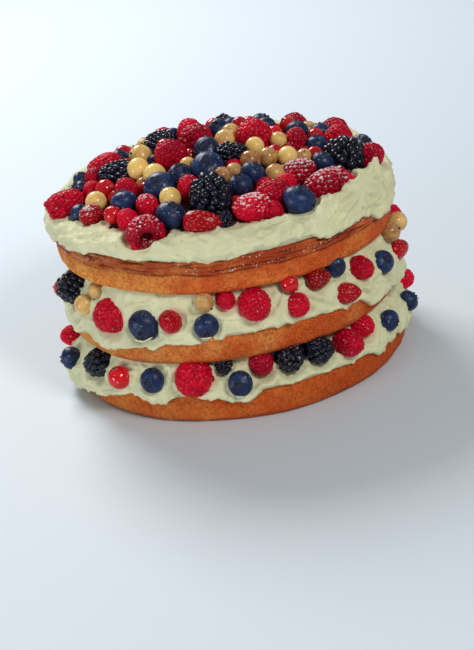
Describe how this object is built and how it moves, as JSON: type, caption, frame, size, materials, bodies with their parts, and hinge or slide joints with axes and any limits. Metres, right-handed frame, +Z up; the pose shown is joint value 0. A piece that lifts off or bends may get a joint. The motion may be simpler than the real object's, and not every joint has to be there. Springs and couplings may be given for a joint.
{
  "type": "layer cake",
  "caption": "Round sponge layer cake with whipped cream and mixed berries between the layers and heaped on the top, standing on its flat base.",
  "frame": {"origin": "centre of the cake's round base, on the surface it stands on", "axes": "+Z up through the layers, -Y towards the side that the picture shows, +X to that view's right"},
  "size_m": [0.2134, 0.2131, 0.1411],
  "materials": {
    "berry_heap": "mixed fruit",
    "blueberry": "dark blue skin with a pale bloom",
    "bramble": "glossy dark drupelets",
    "cream": "whipped cream with fine dark specks, soft satin",
    "raspberry": "juicy drupelets, satin",
    "redcurrant": "clear glossy skin",
    "sponge_bottom": "baked sponge, matt",
    "sponge_middle": "baked sponge, matt",
    "sponge_top": "baked sponge with a darker top crust",
    "strawberry": "glossy red with pale seeds",
    "whitecurrant": "clear amber skin"
  },
  "bodies": {
    "root": {"berry_heap": "berry_heap", "blueberry_bottom_02": "blueberry", "blueberry_bottom_05": "blueberry", "blueberry_bottom_08": "blueberry", "blueberry_bottom_14": "blueberry", "blueberry_bottom_15": "blueberry", "blueberry_bottom_19": "blueberry", "blueberry_bottom_23": "blueberry", "blueberry_middle_06": "blueberry", "blueberry_middle_08": "blueberry", "blueberry_middle_15": "blueberry", "blueberry_middle_18": "blueberry", "blueberry_middle_23": "blueberry", "blueberry_middle_28": "blueberry", "bramble_bottom_03": "bramble", "bramble_bottom_07": "bramble", "bramble_bottom_10": "bramble", "bramble_bottom_11": "bramble", "bramble_bottom_20": "bramble", "bramble_middle_02": "bramble", "bramble_middle_25": "bramble", "cream_bottom": "cream", "cream_middle": "cream", "cream_top": "cream", "raspberry_bottom_01": "raspberry", "raspberry_bottom_06": "raspberry", "raspberry_bottom_09": "raspberry", "raspberry_bottom_12": "raspberry", "raspberry_bottom_13": "raspberry", "raspberry_bottom_16": "raspberry", "raspberry_bottom_18": "raspberry", "raspberry_bottom_22": "raspberry", "raspberry_middle_05": "raspberry", "raspberry_middle_10": "raspberry", "raspberry_middle_11": "raspberry", "raspberry_middle_13": "raspberry", "raspberry_middle_17": "raspberry", "raspberry_middle_22": "raspberry", "raspberry_middle_27": "raspberry", "raspberry_middle_30": "raspberry", "redcurrant_bottom_04": "redcurrant", "redcurrant_bottom_21": "redcurrant", "redcurrant_middle_01": "redcurrant", "redcurrant_middle_12": "redcurrant", "redcurrant_middle_29": "redcurrant", "sponge_bottom": "sponge_bottom", "sponge_middle": "sponge_middle", "sponge_top": "sponge_top", "strawberry_middle_07": "strawberry", "strawberry_middle_14": "strawberry", "strawberry_middle_16": "strawberry", "strawberry_middle_20": "strawberry", "strawberry_middle_24": "strawberry", "whitecurrant_bottom_17": "whitecurrant", "whitecurrant_middle_03": "whitecurrant", "whitecurrant_middle_04": "whitecurrant", "whitecurrant_middle_09": "whitecurrant", "whitecurrant_middle_19": "whitecurrant", "whitecurrant_middle_21": "whitecurrant", "whitecurrant_middle_26": "whitecurrant"}
  },
  "joints": []
}
